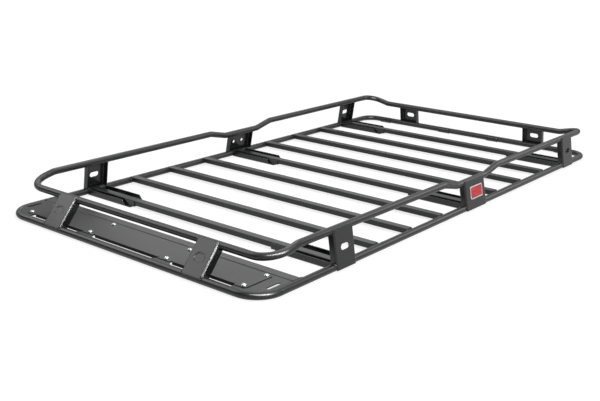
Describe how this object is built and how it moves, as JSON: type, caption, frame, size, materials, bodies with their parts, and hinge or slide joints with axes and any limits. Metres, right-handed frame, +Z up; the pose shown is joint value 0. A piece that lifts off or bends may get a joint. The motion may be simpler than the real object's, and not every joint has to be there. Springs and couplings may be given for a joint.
{
  "type": "roof basket",
  "caption": "Full-length steel roof basket: slatted floor in a round-tube frame, raised luggage rail on folded stanchions, front wind fairing and mounting channels.",
  "frame": {"origin": "under the middle of the basket, on the level of the channels' undersides", "axes": "+X to the vehicle's left, +Y to its rear, +Z up; the wind fairing is at -Y"},
  "size_m": [1.2464, 2.2509, 0.1409],
  "materials": {
    "coated_tube": "satin black powder coat on round tube",
    "coated_slat": "satin black powder coat on rectangular tube",
    "coated_sheet": "satin black powder coat on folded sheet",
    "coated_panel": "satin black powder coat on flat sheet"
  },
  "bodies": {
    "root": {"lower_front_tube": "coated_tube", "lower_rear_tube": "coated_tube", "upper_front_tube": "coated_tube", "upper_rear_tube": "coated_tube", "lower_left_rail": "coated_tube", "lower_right_rail": "coated_tube", "upper_left_rail": "coated_tube", "upper_right_rail": "coated_tube", "slat_1": "coated_slat", "slat_2": "coated_slat", "slat_3": "coated_slat", "slat_4": "coated_slat", "slat_5": "coated_slat", "slat_6": "coated_slat", "slat_7": "coated_slat", "slat_8": "coated_slat", "slat_9": "coated_slat", "fairing_crossbar": "coated_slat", "front_left_post": "coated_sheet", "rear_left_post": "coated_sheet", "left_front_stanchion": "coated_sheet", "left_middle_stanchion": "coated_sheet", "left_rear_stanchion": "coated_sheet", "front_right_post": "coated_sheet", "rear_right_post": "coated_sheet", "right_front_stanchion": "coated_sheet", "right_middle_stanchion": "coated_sheet", "right_rear_stanchion": "coated_sheet", "left_front_channel": "coated_sheet", "left_middle_channel": "coated_sheet", "left_rear_channel": "coated_sheet", "right_front_channel": "coated_sheet", "right_middle_channel": "coated_sheet", "right_rear_channel": "coated_sheet", "left_inner_pad": "coated_sheet", "left_outer_pad": "coated_sheet", "right_inner_pad": "coated_sheet", "right_outer_pad": "coated_sheet", "fairing_panel": "coated_panel", "left_corner_gusset": "coated_panel", "left_front_lug": "coated_panel", "left_rear_lug": "coated_panel", "right_corner_gusset": "coated_panel", "right_front_lug": "coated_panel", "right_rear_lug": "coated_panel"}
  },
  "joints": []
}
